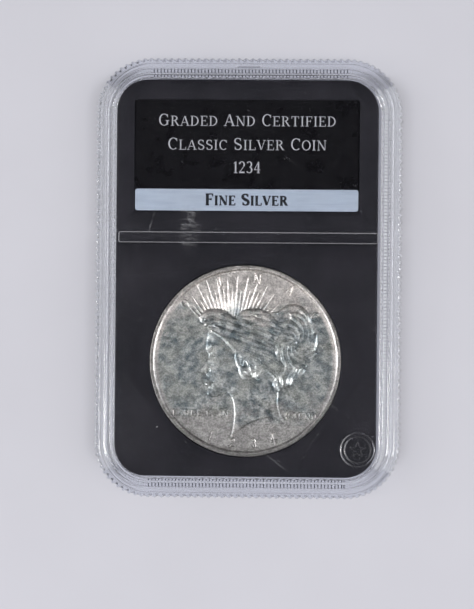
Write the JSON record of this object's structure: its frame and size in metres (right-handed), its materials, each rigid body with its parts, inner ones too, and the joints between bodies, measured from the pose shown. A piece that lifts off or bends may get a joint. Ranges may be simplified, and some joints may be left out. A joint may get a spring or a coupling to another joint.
{
  "type": "graded coin slab",
  "caption": "Sealed clear holder with a reeded edge and raised stacking rims, around a black insert that carries a large silver coin and a printed label card.",
  "frame": {"origin": "middle of the back, in the plane of the surface that the slab lies on", "axes": "+X to the right across the front, +Y towards the label end, +Z out of the front window"},
  "size_m": [0.061, 0.0874, 0.008],
  "materials": {
    "front_clear": "clear polystyrene, polished",
    "back_clear": "clear polystyrene, polished",
    "insert_black": "black moulding with a fine matt texture",
    "coin_silver": "struck silver with light grey and blue toning",
    "label_black": "smooth black card, satin print",
    "label_foil": "pale silver-blue foil",
    "back_card_black": "smooth black card",
    "seal_foil": "pale silver-blue foil"
  },
  "bodies": {
    "root": {"front_shell": "front_clear", "back_shell": "back_clear", "insert": "insert_black", "coin": "coin_silver", "label_card": "label_black", "label_band": "label_foil", "back_card": "back_card_black", "back_seal": "seal_foil"}
  },
  "joints": []
}
